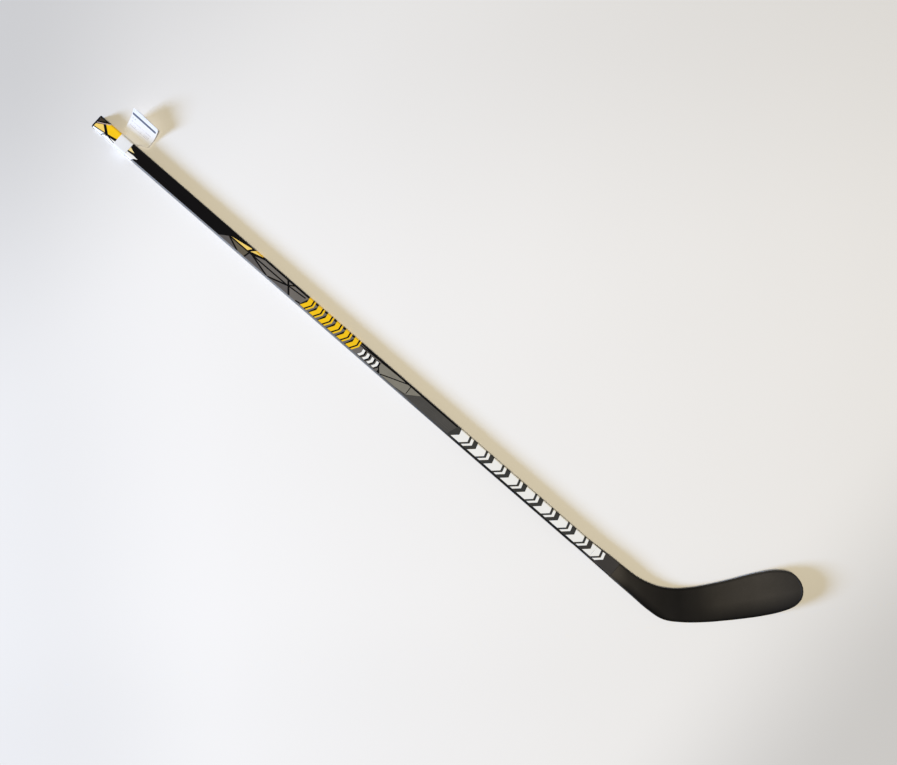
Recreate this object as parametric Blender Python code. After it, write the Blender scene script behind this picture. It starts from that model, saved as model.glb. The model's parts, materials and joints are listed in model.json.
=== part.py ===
"""Ice hockey stick, junior size, left-hand curve, with its paper price label.

Frame: metres, +Z up, the stick in its playing position on the ice. The origin is on the
flat of the blade's sole, with the ice at z = 0. +X runs along the ice from the heel to the
toe, the shaft climbs towards -X, and +Y points away from the forehand face.

The shaft's own frame has its origin at the butt end: x is "down", along the shaft to the
heel, z is "across" its wide faces, towards the blade's top edge, and y is the same as the
stick's.

A hollow rounded-rectangle shaft, closed by a plug, fits over the tenon of the blade, and a
flush ply sleeve covers the joint. The blade is two skins over two foam cores with a spar
between them, and a rim bead runs round its edge.
"""

import math

import bmesh
import bpy
from mathutils import Matrix, Vector

MM = 0.001

# ---- the stick as a whole ----
LIE = math.radians(46.0)  # shaft to ice, lie 5.5
AXIS_FOOT_X = -84.6 * MM  # where the shaft's centre line would meet the ice
BUTT_TO_FOOT = 1347.0 * MM  # along that line, from the butt end
GAP = 0.3 * MM  # clearance kept between neighbouring pieces

DOWN_SHAFT = Vector((math.cos(LIE), 0.0, -math.sin(LIE)))
ACROSS_SHAFT = Vector((math.sin(LIE), 0.0, math.cos(LIE)))
BUTT = Vector((AXIS_FOOT_X, 0.0, 0.0)) - DOWN_SHAFT * BUTT_TO_FOOT

# ---- meshing ----
CORNER_STEPS = 4  # segments in each rounded corner
RIB_STEPS = 3  # ribs from one blade station to the next
RIB_START_MARGIN = 0.2 / RIB_STEPS  # no rib this close after a piece's first one
RIB_END_MARGIN = 0.05 / RIB_STEPS  # or this close before its last one
SKIN_COLUMNS = 6  # faces across a skin
CORE_COLUMNS = 3  # faces across a core or the spar
FLAG_COLUMNS = 4  # faces across the label's flag
MERGE_DISTANCE = 1e-6
SHARP_ANGLE = math.radians(38.0)

# ---- shaft and joint: places along the shaft are measured down from the butt end ----
SHAFT_WIDTH = 25.5 * MM
SHAFT_THICKNESS = 18.0 * MM
SHAFT_CORNER = 3.5 * MM
SHAFT_WALL = 2.0 * MM
SHAFT_END = 1174.7 * MM
BLADE_START = 1200.3 * MM
SMALLEST_CORNER = 0.6 * MM  # for sections inset from the surface

SLEEVE_PLY = 0.6 * MM
SLEEVE_END = BLADE_START - 2 * GAP
RELIEF_START = 1150.0 * MM  # the wall is relieved from here for the joint sleeve
RELIEF = SLEEVE_PLY + GAP

# the section grows smoothly from FLARE_START to BLADE_START
FLARE_START = 1125.0 * MM
FLARE_TOP = 3.8 * MM
FLARE_SOLE = 0.6 * MM
FLARE_RINGS = (1160.0 * MM, 1168.0 * MM)  # shared by the sleeve and the shaft under it
SHAFT_RINGS = (120.0 * MM, 400.0 * MM, 700.0 * MM, 950.0 * MM, FLARE_START, 1138.0 * MM)

# ---- butt end plug ----
PLUG_FLANGE = 3.0 * MM
PLUG_CHAMFER = 0.8 * MM
PLUG_LENGTH = 35.0 * MM
PLUG_TAPER_LENGTH = 2.0 * MM
PLUG_TAPER_INSET = 1.0 * MM

# ---- tenon of the blade ----
TENON_TIP = 1112.0 * MM
TENON_TAPER_LENGTH = 3.0 * MM
TENON_TAPER_INSET = 1.5 * MM
TENON_SHOULDER = SHAFT_END + GAP
TENON_MIDDLE = 1187.0 * MM
WEDGE_FIRST_STATION = 0.4  # blade stations, after the step at station 0
WEDGE_LAST_STATION = 2.6
WEDGE_THICKNESS_SHARE = 0.93  # of the blade's thickness, before the skins are taken off
WEDGE_CORNER = 1.0 * MM

# ---- blade: station 0 is its start in the joint, and these are stations 1 to 11, the toe ----
# sole x, z; top x, z; thickness; edge radius, all in mm
BLADE_STATIONS = (
    (-162.4, 61.6, -142.0, 88.1, 14.0, 3.2),
    (-133.4, 31.6, -111.0, 71.4, 10.6, 2.8),
    (-108.8, 12.8, -84.0, 64.9, 8.6, 2.4),
    (-73.0, 4.0, -55.0, 63.4, 7.4, 2.0),
    (-20.0, 0.0, -18.0, 66.2, 6.6, 1.8),
    (14.0, 0.0, 15.0, 70.4, 6.3, 1.8),
    (63.0, 2.0, 60.0, 77.5, 6.0, 1.7),
    (100.0, 6.9, 98.0, 80.1, 5.8, 1.7),
    (124.6, 14.9, 124.0, 74.0, 5.6, 1.7),
    (137.2, 27.2, 137.0, 59.0, 5.4, 1.7),
    (140.9, 42.8, 140.9, 42.8, 5.3, 1.7),
)
FIRST_THICKNESS = 17.6 * MM  # at station 0
FIRST_RADIUS = 3.5 * MM
TOE = len(BLADE_STATIONS)  # the toe tip's station number
THICKNESSES = [FIRST_THICKNESS] + [row[4] * MM for row in BLADE_STATIONS]
EDGE_RADII = [FIRST_RADIUS] + [row[5] * MM for row in BLADE_STATIONS]

CURVE_START_X = -20.0 * MM  # the blade bends towards the forehand from here
CURVE_END_X = BLADE_STATIONS[-1][0] * MM
CURVE_DEPTH = 17.0 * MM  # how far the toe has come forward
CURVE_POWER = 2.1
THIN_SOLE, THIN_TOP = 0.10, 0.20  # share of the thickness lost at each edge
THINNING_FULL_STATION = 4.0  # the thinning fades in from station 0 to here
TANGENT_REACH = 0.02  # step in loop position for the outline's direction

RIM = 4.0 * MM  # depth of the rim bead
LARGEST_EDGE_SHARE = 0.8  # limit of the edge radius, as a share of the half thickness
SKIN = 1.0 * MM
SKIN_END_STATION = TOE - 0.22
SPAR_HALF = 2.2 * MM
SPAR_CORE_GAP = 0.35 * MM
CORE_START_STATION = WEDGE_LAST_STATION + 0.03
CORE_END_STATION = 10.35

# ---- price label ----
LABEL_FROM, LABEL_TO = 49.7 * MM, 76.4 * MM
LABEL_PAPER = 0.3 * MM
LABEL_TAIL_Y = 5.0 * MM  # where its ends stop on the narrow sides
CREASE_Z, CREASE_Y = 13.8 * MM, 1.5 * MM  # the flag's hinge, beside the upper narrow side
# the flag: distance out from the crease, then its butt-side and heel-side edges, measured
# down the shaft, all in mm
FLAG_OUTLINE = (
    (0.0, 51.7, 76.4),
    (2.6, 52.3, 80.4),
    (6.6, 52.2, 85.6),
    (8.0, 50.6, 89.5),
    (9.5, 46.4, 93.6),
    (10.9, 43.3, 95.4),
    (13.8, 42.3, 95.9),
    (17.6, 41.8, 95.8),
    (21.3, 41.3, 95.7),
    (25.2, 40.8, 95.4),
    (28.9, 40.3, 95.1),
    (32.9, 39.8, 94.6),
    (37.0, 39.3, 94.1),
    (40.8, 38.9, 93.6),
    (44.8, 38.5, 93.0),
    (49.2, 38.1, 92.4),
    (51.3, 38.3, 91.8),
    (52.9, 39.0, 91.0),
    (53.8, 40.9, 89.2),
)
FLAG_LENGTH = FLAG_OUTLINE[-1][0] * MM
# lean at the crease and at the free end: negative to the back (+Y), positive to the front
FLAG_ANGLE_START, FLAG_ANGLE_END = math.radians(-22.0), math.radians(66.0)
FLAG_TWIST = 7.0 * MM  # the free end's butt-side corner is this far forward, the other back
FLAG_TWIST_POWER = 1.5

# ---- materials ----
MATERIALS = {
    "shaft_paint": dict(colour=(0.035, 0.035, 0.038), roughness=0.28),
    "moulded_black": dict(colour=(0.02, 0.02, 0.022), roughness=0.5),
    "carbon_ply": dict(colour=(0.03, 0.03, 0.032), roughness=0.42),
    "tenon_composite": dict(colour=(0.10, 0.095, 0.085), roughness=0.7),
    "blade_foam": dict(colour=(0.72, 0.66, 0.48), roughness=0.9),
    "spar_composite": dict(colour=(0.06, 0.06, 0.06), roughness=0.6),
    "blade_forehand_matte": dict(colour=(0.045, 0.041, 0.036), roughness=0.62),
    "blade_backhand_matte": dict(colour=(0.045, 0.041, 0.036), roughness=0.62),
    "rim_resin": dict(colour=(0.018, 0.017, 0.016), roughness=0.45),
    "label_paper": dict(colour=(0.86, 0.86, 0.85), roughness=0.75),
    "label_flag_paper": dict(colour=(0.88, 0.88, 0.87), roughness=0.75),
}


# ------------------------------------------------------------------ scene and objects
def clear_scene():
    for obj in list(bpy.data.objects):
        bpy.data.objects.remove(obj, do_unlink=True)


def make_material(name, colour, roughness):
    material = bpy.data.materials.new(name)
    material.use_nodes = True
    inputs = material.node_tree.nodes["Principled BSDF"].inputs
    inputs["Base Color"].default_value = (*colour, 1.0)
    inputs["Roughness"].default_value = roughness
    return material


def add_frame(name, location=(0.0, 0.0, 0.0), rotation=(0.0, 0.0, 0.0)):
    """Adds an empty that carries pieces."""
    frame = bpy.data.objects.new(name, None)
    frame.location = location
    frame.rotation_euler = rotation
    bpy.context.scene.collection.objects.link(frame)
    return frame


def add_object(name, solid, material, parent, origin=(0.0, 0.0, 0.0)):
    """Makes an object of a bmesh, with faces pointing out and rounded edges smooth."""
    bmesh.ops.remove_doubles(solid, verts=solid.verts, dist=MERGE_DISTANCE)
    bmesh.ops.recalc_face_normals(solid, faces=solid.faces)
    mesh = bpy.data.meshes.new(name)
    solid.to_mesh(mesh)
    solid.free()
    mesh.shade_smooth()
    mesh.set_sharp_from_angle(angle=SHARP_ANGLE)
    mesh.transform(Matrix.Translation(-Vector(origin)))
    mesh.materials.append(material)
    obj = bpy.data.objects.new(name, mesh)
    bpy.context.scene.collection.objects.link(obj)
    obj.location = origin
    obj.parent = parent


# ------------------------------------------------------------------ solids
def loft(rings, closed=False):
    """A solid through rings of equal count, its ends capped, or joined together if closed."""
    solid = bmesh.new()
    made = [[solid.verts.new(point) for point in ring] for ring in rings]
    count = len(made[0])
    pairs = list(zip(made, made[1:]))
    if closed:
        pairs.append((made[-1], made[0]))
    for ring, following in pairs:
        for i in range(count):
            j = (i + 1) % count
            solid.faces.new((ring[i], ring[j], following[j], following[i]))
    if not closed:
        solid.faces.new(made[0][::-1])
        solid.faces.new(made[-1])
    return solid


def tube(outer, inner):
    """A hollow solid: rings down the outside, then back up the bore, joined at both mouths."""
    return loft(outer + inner[::-1], closed=True)


def sheet(front, back):
    """A solid between two grids of points of the same rows and columns."""
    solid = bmesh.new()
    front = [[solid.verts.new(point) for point in row] for row in front]
    back = [[solid.verts.new(point) for point in row] for row in back]
    rows, columns = len(front), len(front[0])
    for i in range(rows - 1):
        for j in range(columns - 1):
            solid.faces.new((front[i][j], front[i][j + 1], front[i + 1][j + 1], front[i + 1][j]))
            solid.faces.new((back[i][j], back[i + 1][j], back[i + 1][j + 1], back[i][j + 1]))
    for i in range(rows - 1):
        for j in (0, columns - 1):
            solid.faces.new((front[i][j], front[i + 1][j], back[i + 1][j], back[i][j]))
    for j in range(columns - 1):
        for i in (0, rows - 1):
            solid.faces.new((front[i][j], front[i][j + 1], back[i][j + 1], back[i][j]))
    return solid


def corner_angles(start, sweep):
    """The angles of a rounded corner's points, from a start and a sweep in degrees."""
    return [math.radians(start + sweep * k / CORNER_STEPS) for k in range(CORNER_STEPS + 1)]


def rounded_rectangle(low, high, half, radius):
    """Points (across, y) round a rectangle from low to high and from -half to half."""
    points = []
    for centre, centre_y, start in (
        (high - radius, half - radius, 0.0),
        (low + radius, half - radius, 90.0),
        (low + radius, -half + radius, 180.0),
        (high - radius, -half + radius, 270.0),
    ):
        for angle in corner_angles(start, 90.0):
            points.append(
                (centre + radius * math.cos(angle), centre_y + radius * math.sin(angle))
            )
    return points


def smooth_step(x):
    x = min(1.0, max(0.0, x))
    return x * x * (3.0 - 2.0 * x)


# ------------------------------------------------------------------ shaft sections
def flare(down):
    """How much of the flare has been reached, from 0 to 1."""
    return smooth_step((down - FLARE_START) / (BLADE_START - FLARE_START))


def shaft_limits(down):
    """How far the section reaches from the centre line, to the sole side and the top side."""
    half = SHAFT_WIDTH / 2
    return half + FLARE_SOLE * flare(down), half + FLARE_TOP * flare(down)


def shaft_ring(down, inset=0.0):
    """A ring of the shaft's section in the shaft's frame, inset from its surface."""
    low, high = shaft_limits(down)
    half = SHAFT_THICKNESS / 2 + (FIRST_THICKNESS - SHAFT_THICKNESS) / 2 * flare(down)
    corner = max(SHAFT_CORNER - inset, SMALLEST_CORNER)
    ring = rounded_rectangle(-low + inset, high - inset, half - inset, corner)
    return [(down, y, across) for across, y in ring]


def bore_ring(down, clearance=0.0):
    """A ring of the straight bore, or of a piece that sits in it with some clearance."""
    inset = SHAFT_WALL + clearance
    half_width = SHAFT_WIDTH / 2 - inset
    half_thickness = SHAFT_THICKNESS / 2 - inset
    corner = SHAFT_CORNER - SHAFT_WALL
    ring = rounded_rectangle(-half_width, half_width, half_thickness, corner)
    return [(down, y, across) for across, y in ring]


# ------------------------------------------------------------------ blade surface
def outline_controls():
    """The loop of outline points: down the sole side to the toe, then back along the top."""
    start = BUTT + DOWN_SHAFT * BLADE_START
    low, high = shaft_limits(BLADE_START)
    sole = [start - ACROSS_SHAFT * low]
    sole += [Vector((row[0] * MM, 0, row[1] * MM)) for row in BLADE_STATIONS]
    top = [start + ACROSS_SHAFT * high]
    top += [Vector((row[2] * MM, 0, row[3] * MM)) for row in BLADE_STATIONS[:-1]]
    return sole + top[::-1]


CONTROLS = outline_controls()


def loop_point(place):
    """The outline at a loop position, from 0 at the joint's sole side to 2 * TOE at its top."""
    index = min(int(place), len(CONTROLS) - 2)
    here, there = CONTROLS[index], CONTROLS[index + 1]
    # beyond either end of the loop, the outline carries on up the shaft
    beyond = DOWN_SHAFT * (there - here).length
    before = CONTROLS[index - 1] if index > 0 else here - beyond
    after = CONTROLS[index + 2] if index + 2 < len(CONTROLS) else there - beyond
    points = (before, here, there, after)

    # a centripetal spline, which doesn't overshoot where the stations are unevenly spaced
    knots = [0.0]
    for first, second in zip(points, points[1:]):
        knots.append(knots[-1] + (second - first).length ** 0.5)
    at = knots[1] + (knots[2] - knots[1]) * (place - index)

    def blend(first, second, i, j):
        span = knots[j] - knots[i]
        return first * ((knots[j] - at) / span) + second * ((at - knots[i]) / span)

    lines = [blend(points[i], points[i + 1], i, i + 1) for i in range(3)]
    curves = [blend(lines[i], lines[i + 1], i, i + 2) for i in range(2)]
    point = blend(curves[0], curves[1], 1, 2)
    return Vector((point.x, 0.0, max(point.z, 0.0)))


def inward(place):
    """The unit normal of the outline at a loop position, pointing into the blade."""
    ahead = loop_point(min(place + TANGENT_REACH, 2 * TOE))
    behind = loop_point(max(place - TANGENT_REACH, 0.0))
    tangent = (ahead - behind).normalized()
    return Vector((-tangent.z, 0.0, tangent.x))


def at_station(table, station):
    """A value between the entries of a table that has one for each station."""
    index = min(int(station), TOE - 1)
    share = station - index
    return table[index] * (1 - share) + table[index + 1] * share


def with_curve(point, y):
    """A point y from the blade's middle surface, which bends towards the forehand."""
    share = max(0.0, (point.x - CURVE_START_X) / (CURVE_END_X - CURVE_START_X))
    return Vector((point.x, y - CURVE_DEPTH * share**CURVE_POWER, point.z))


def face_half(station, height):
    """The half thickness at a height from 0 at the sole to 1 at the top."""
    thinning = THIN_SOLE * (1 - height) ** 3 + THIN_TOP * height**3
    crown = 1.0 - smooth_step(station / THINNING_FULL_STATION) * thinning
    return at_station(THICKNESSES, station) / 2 * crown


def rib(station):
    """The line across the blade inside the rim: its sole end, direction and length."""
    low, high = (
        loop_point(place) + inward(place) * (RIM + GAP)
        for place in (station, 2 * TOE - station)
    )
    return low, (high - low).normalized(), (high - low).length


def rib_stations(start, end):
    """The stations of the ribs from start to end, ends included."""
    between = [
        k / RIB_STEPS
        for k in range(math.ceil(end * RIB_STEPS))
        if k / RIB_STEPS - start > RIB_START_MARGIN and k / RIB_STEPS < end - RIB_END_MARGIN
    ]
    return [start, *between, end]


def blade_grid(stations, side, depth, columns, low=None, high=None):
    """Rows of points at a depth under a face: side is -1 for the forehand, 1 for the backhand.

    low and high bound the part of each rib used, from its middle, or None for its end.
    """
    rows = []
    for station in stations:
        sole_end, direction, span = rib(station)
        first = 0.0 if low is None else span / 2 + low
        last = span if high is None else span / 2 + high
        row = []
        for k in range(columns + 1):
            across = first + (last - first) * k / columns
            y = side * (face_half(station, across / span) - depth)
            row.append(with_curve(sole_end + direction * across, y))
        rows.append(row)
    return rows


# ------------------------------------------------------------------ shaft pieces
def make_shaft_tube(material, parent):
    start = PLUG_FLANGE + GAP
    outer = [shaft_ring(down) for down in (start, *SHAFT_RINGS, RELIEF_START)]
    outer += [shaft_ring(down, RELIEF) for down in (RELIEF_START, *FLARE_RINGS, SHAFT_END)]
    inner = [bore_ring(down) for down in (start, SHAFT_END)]
    add_object("shaft_tube", tube(outer, inner), material, parent)


def make_butt_end_plug(material, parent):
    """A chamfered flange over the tube's end, and a stub with a tapered tip in the bore."""
    rings = [
        shaft_ring(0.0, PLUG_CHAMFER),
        shaft_ring(PLUG_CHAMFER),
        shaft_ring(PLUG_FLANGE),
        bore_ring(PLUG_FLANGE, GAP),
        bore_ring(PLUG_LENGTH - PLUG_TAPER_LENGTH, GAP),
        bore_ring(PLUG_LENGTH, GAP + PLUG_TAPER_INSET),
    ]
    add_object("butt_end_plug", loft(rings), material, parent)


def make_joint_sleeve(material, parent):
    places = (RELIEF_START + GAP, *FLARE_RINGS, SHAFT_END, TENON_MIDDLE, SLEEVE_END)
    outer = [shaft_ring(down) for down in places]
    inner = [shaft_ring(down, SLEEVE_PLY) for down in places]
    add_object("hosel_joint_sleeve", tube(outer, inner), material, parent)


# ------------------------------------------------------------------ label
def label_path(offset):
    """The label's path (across, y) over the narrow sides and the forehand-side wide face."""
    half_width, half_thickness = SHAFT_WIDTH / 2, SHAFT_THICKNESS / 2
    radius = SHAFT_CORNER + offset
    centre_y = -half_thickness + SHAFT_CORNER
    path = [(half_width + offset, LABEL_TAIL_Y)]
    for centre, start in ((half_width - SHAFT_CORNER, 0.0), (-half_width + SHAFT_CORNER, -90.0)):
        for angle in corner_angles(start, -90.0):
            path.append(
                (centre + radius * math.cos(angle), centre_y + radius * math.sin(angle))
            )
    path.append((-half_width - offset, LABEL_TAIL_Y))
    return path


def make_label_wrap(material, parent):
    outer, inner = (
        [[(down, y, across) for across, y in label_path(offset)] for down in (LABEL_FROM, LABEL_TO)]
        for offset in (GAP + LABEL_PAPER, GAP)
    )
    add_object("price_label_wrap", sheet(outer, inner), material, parent)


def make_label_flag(material, parent):
    """The free part of the label: it leans back from the crease, then curls forward."""
    front, back = [], []
    turn_rate = (FLAG_ANGLE_END - FLAG_ANGLE_START) / FLAG_LENGTH
    for distance, butt_edge, heel_edge in FLAG_OUTLINE:
        # the middle line bends evenly, so its place is the integral of a turning direction
        share = distance * MM / FLAG_LENGTH
        angle = FLAG_ANGLE_START + (FLAG_ANGLE_END - FLAG_ANGLE_START) * share
        y = CREASE_Y - (math.cos(FLAG_ANGLE_START) - math.cos(angle)) / turn_rate
        z = CREASE_Z + (math.sin(angle) - math.sin(FLAG_ANGLE_START)) / turn_rate
        twist = FLAG_TWIST * share**FLAG_TWIST_POWER
        for rows, offset in ((front, -LABEL_PAPER / 2), (back, LABEL_PAPER / 2)):
            row = []
            for k in range(FLAG_COLUMNS + 1):
                part = k / FLAG_COLUMNS
                row.append(
                    (
                        (butt_edge + (heel_edge - butt_edge) * part) * MM,
                        y + math.cos(angle) * offset + twist * (2 * part - 1),
                        z + math.sin(angle) * offset,
                    )
                )
            rows.append(row)
    origin = (0.0, CREASE_Y, CREASE_Z)
    add_object("price_label_flag", sheet(front, back), material, parent, origin)


# ------------------------------------------------------------------ blade pieces
def wedge_ring(station):
    """A ring of the tenon's wedge, between the blade's skins."""
    sole_end, direction, span = rib(station)
    half = at_station(THICKNESSES, station) / 2 * WEDGE_THICKNESS_SHARE - SKIN - GAP
    ring = rounded_rectangle(0.0, span, half, WEDGE_CORNER)
    return [with_curve(sole_end + direction * across, y) for across, y in ring]


def make_tenon(material, parent):
    """A block in the shaft, a shoulder in the sleeve, and a wedge down into the blade."""
    to_world = Matrix.Translation(BUTT) @ Matrix.Rotation(LIE, 4, "Y")
    in_shaft = [
        bore_ring(TENON_TIP, GAP + TENON_TAPER_INSET),
        bore_ring(TENON_TIP + TENON_TAPER_LENGTH, GAP),
        bore_ring(TENON_SHOULDER, GAP),
    ]
    for down in (TENON_SHOULDER, TENON_MIDDLE, BLADE_START - GAP):
        in_shaft.append(shaft_ring(down, RELIEF))
    rings = [[to_world @ Vector(point) for point in ring] for ring in in_shaft]
    # the step from the shoulder in to the wedge, in the plane of the shoulder's end
    rings.append([point - DOWN_SHAFT * GAP for point in wedge_ring(0.0)])
    for station in rib_stations(WEDGE_FIRST_STATION, WEDGE_LAST_STATION):
        rings.append(wedge_ring(station))
    add_object("tenon_block", loft(rings), material, parent)


def make_edge_binding(material, parent):
    """The rim bead: from the joint along the sole, round the toe and back along the top."""
    to_toe = rib_stations(0.0, TOE)
    rings = []
    for place in to_toe + [2 * TOE - station for station in to_toe[-2::-1]]:
        station = min(place, 2 * TOE - place)
        # within a station of the toe, the sole's thinning blends into the top's
        half = face_half(station, smooth_step((place - TOE + 1.0) / 2.0))
        radius = min(at_station(EDGE_RADII, station), half * LARGEST_EDGE_SHARE)
        # (depth in from the outline, y): the forehand half, then its mirror image
        section = [(RIM, -half)]
        for angle in corner_angles(90.0, -90.0):
            section.append(
                (radius - radius * math.cos(angle), radius - half - radius * math.sin(angle))
            )
        section += [(depth, -y) for depth, y in section[::-1]]
        point, normal = loop_point(place), inward(place)
        rings.append([with_curve(point + normal * depth, y) for depth, y in section])
    add_object("blade_edge_binding", loft(rings), material, parent)


def make_skin(name, side, material, parent):
    """A skin of the blade: side is -1 for the forehand, 1 for the backhand."""
    stations = rib_stations(0.0, SKIN_END_STATION)
    outer, inner = (blade_grid(stations, side, depth, SKIN_COLUMNS) for depth in (0.0, SKIN))
    add_object(name, sheet(outer, inner), material, parent)


def make_core(name, low, high, material, parent):
    """A filling between the skins, over the part of each rib from low to high."""
    stations = rib_stations(CORE_START_STATION, CORE_END_STATION)
    front, back = (
        blade_grid(stations, side, SKIN + GAP, CORE_COLUMNS, low, high) for side in (-1, 1)
    )
    add_object(name, sheet(front, back), material, parent)


def main():
    clear_scene()
    materials = {name: make_material(name, **look) for name, look in MATERIALS.items()}

    shaft = add_frame("shaft_frame", location=BUTT, rotation=(0.0, LIE, 0.0))
    make_shaft_tube(materials["shaft_paint"], shaft)
    make_butt_end_plug(materials["moulded_black"], shaft)
    make_joint_sleeve(materials["carbon_ply"], shaft)
    make_label_wrap(materials["label_paper"], shaft)
    make_label_flag(materials["label_flag_paper"], shaft)

    blade = add_frame("blade_frame")
    make_tenon(materials["tenon_composite"], blade)
    make_edge_binding(materials["rim_resin"], blade)
    make_skin("blade_forehand_skin", -1, materials["blade_forehand_matte"], blade)
    make_skin("blade_backhand_skin", 1, materials["blade_backhand_matte"], blade)
    core_edge = SPAR_HALF + SPAR_CORE_GAP
    foam = materials["blade_foam"]
    make_core("blade_foam_core_lower", None, -core_edge, foam, blade)
    make_core("blade_foam_core_upper", core_edge, None, foam, blade)
    make_core("blade_spar", -SPAR_HALF, SPAR_HALF, materials["spar_composite"], blade)
    bpy.context.view_layer.update()


main()
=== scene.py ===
"""Ice hockey stick: finished surfaces, printed shaft, paper label, stage, lights and camera.

Row frame: metres, +Z up, +X from heel to toe, the forehand face towards -Y. The shaft has its own
directions: U runs down it from the butt end, and W runs across its wide faces towards the blade's
top edge. "Along" and "across" are distances in U and W from the butt end's centre.
"""
import json
import math
import random

import bmesh
import bpy
from mathutils import Matrix, Vector


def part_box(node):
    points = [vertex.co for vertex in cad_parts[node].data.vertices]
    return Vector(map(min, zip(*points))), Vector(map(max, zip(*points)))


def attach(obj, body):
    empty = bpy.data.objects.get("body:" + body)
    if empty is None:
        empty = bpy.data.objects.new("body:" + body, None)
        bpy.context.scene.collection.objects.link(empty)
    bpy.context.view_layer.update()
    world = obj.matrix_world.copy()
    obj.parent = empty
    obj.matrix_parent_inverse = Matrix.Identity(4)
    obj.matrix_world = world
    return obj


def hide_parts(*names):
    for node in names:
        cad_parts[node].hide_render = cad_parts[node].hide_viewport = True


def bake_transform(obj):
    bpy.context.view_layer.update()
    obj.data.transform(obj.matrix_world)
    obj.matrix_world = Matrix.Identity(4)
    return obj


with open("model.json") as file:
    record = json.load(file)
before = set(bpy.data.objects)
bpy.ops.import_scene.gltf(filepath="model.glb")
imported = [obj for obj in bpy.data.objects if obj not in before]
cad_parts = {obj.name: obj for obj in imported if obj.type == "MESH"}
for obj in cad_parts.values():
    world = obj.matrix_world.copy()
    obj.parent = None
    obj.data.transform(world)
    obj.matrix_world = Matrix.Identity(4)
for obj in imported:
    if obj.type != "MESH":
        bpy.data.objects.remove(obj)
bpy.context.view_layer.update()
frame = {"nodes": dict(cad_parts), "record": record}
SCENE = bpy.context.scene
MM = 0.001

# ------------------------------------------------------------------ shaft axes and dimensions
MOUNTS = {m["name"]: m for m in frame["record"]["mounts"]}
BUTT = Vector(MOUNTS["butt_end"]["pos_m"])
U = -Vector(MOUNTS["butt_end"]["axis"]).normalized()
W = Vector((-U.z, 0.0, U.x))
LIE = math.atan2(-U.z, U.x)  # the shaft's slope
SHAFT_MATRIX = Matrix.Translation(BUTT) @ Matrix.Rotation(LIE, 4, "Y")  # x = U, y = Y, z = W

HALF_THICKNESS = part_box("shaft_tube")[1].y
HALF_WIDTH = 12.75 * MM
CORNER = 3.5 * MM
# the section swells between these two distances along the shaft
FLARE_START, BLADE_START = 1125 * MM, 1200.3 * MM
FLARE_SOLE, FLARE_TOP = 0.6 * MM, 3.8 * MM
BLADE_START_HALF_THICKNESS = 8.8 * MM

SLEEVE_START, SLEEVE_END = 1150.2 * MM, 1200.0 * MM
TUBE_START, TUBE_END = 3.1 * MM, 1150.1 * MM
MOUTH_BEVEL = 0.25 * MM
EDGE_INK_FROM, EDGE_INK_TO = 0.093, 1.12  # metallic ink on the lower narrow side


def shaft_point(along, y, across):
    """A point given in shaft directions, in the row frame."""
    return BUTT + U * along + W * across + Vector((0, y, 0))


def smooth_step(x):
    x = min(1.0, max(0.0, x))
    return x * x * (3.0 - 2.0 * x)


# ------------------------------------------------------------------ colour and shader nodes
NOISE_SPAN = (0.3, 0.7)  # the range that most noise values fill
PEEL_HEIGHT = 0.2 * MM  # bump distance of lacquer's uneven skin
UNIT = (0.0, 1.0)


def colour4(c):
    if isinstance(c, (int, float)):
        return (c, c, c, 1.0)
    return (*c, 1.0)


def srgb(*channels):
    """Linear colour of a display colour from 0 to 255."""
    return tuple(
        x / 255 / 12.92 if x / 255 <= 0.04045 else ((x / 255 + 0.055) / 1.055) ** 2.4
        for x in channels
    )


def scaled(colour, factor):
    return tuple(min(1.0, x * factor) for x in colour)


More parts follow.
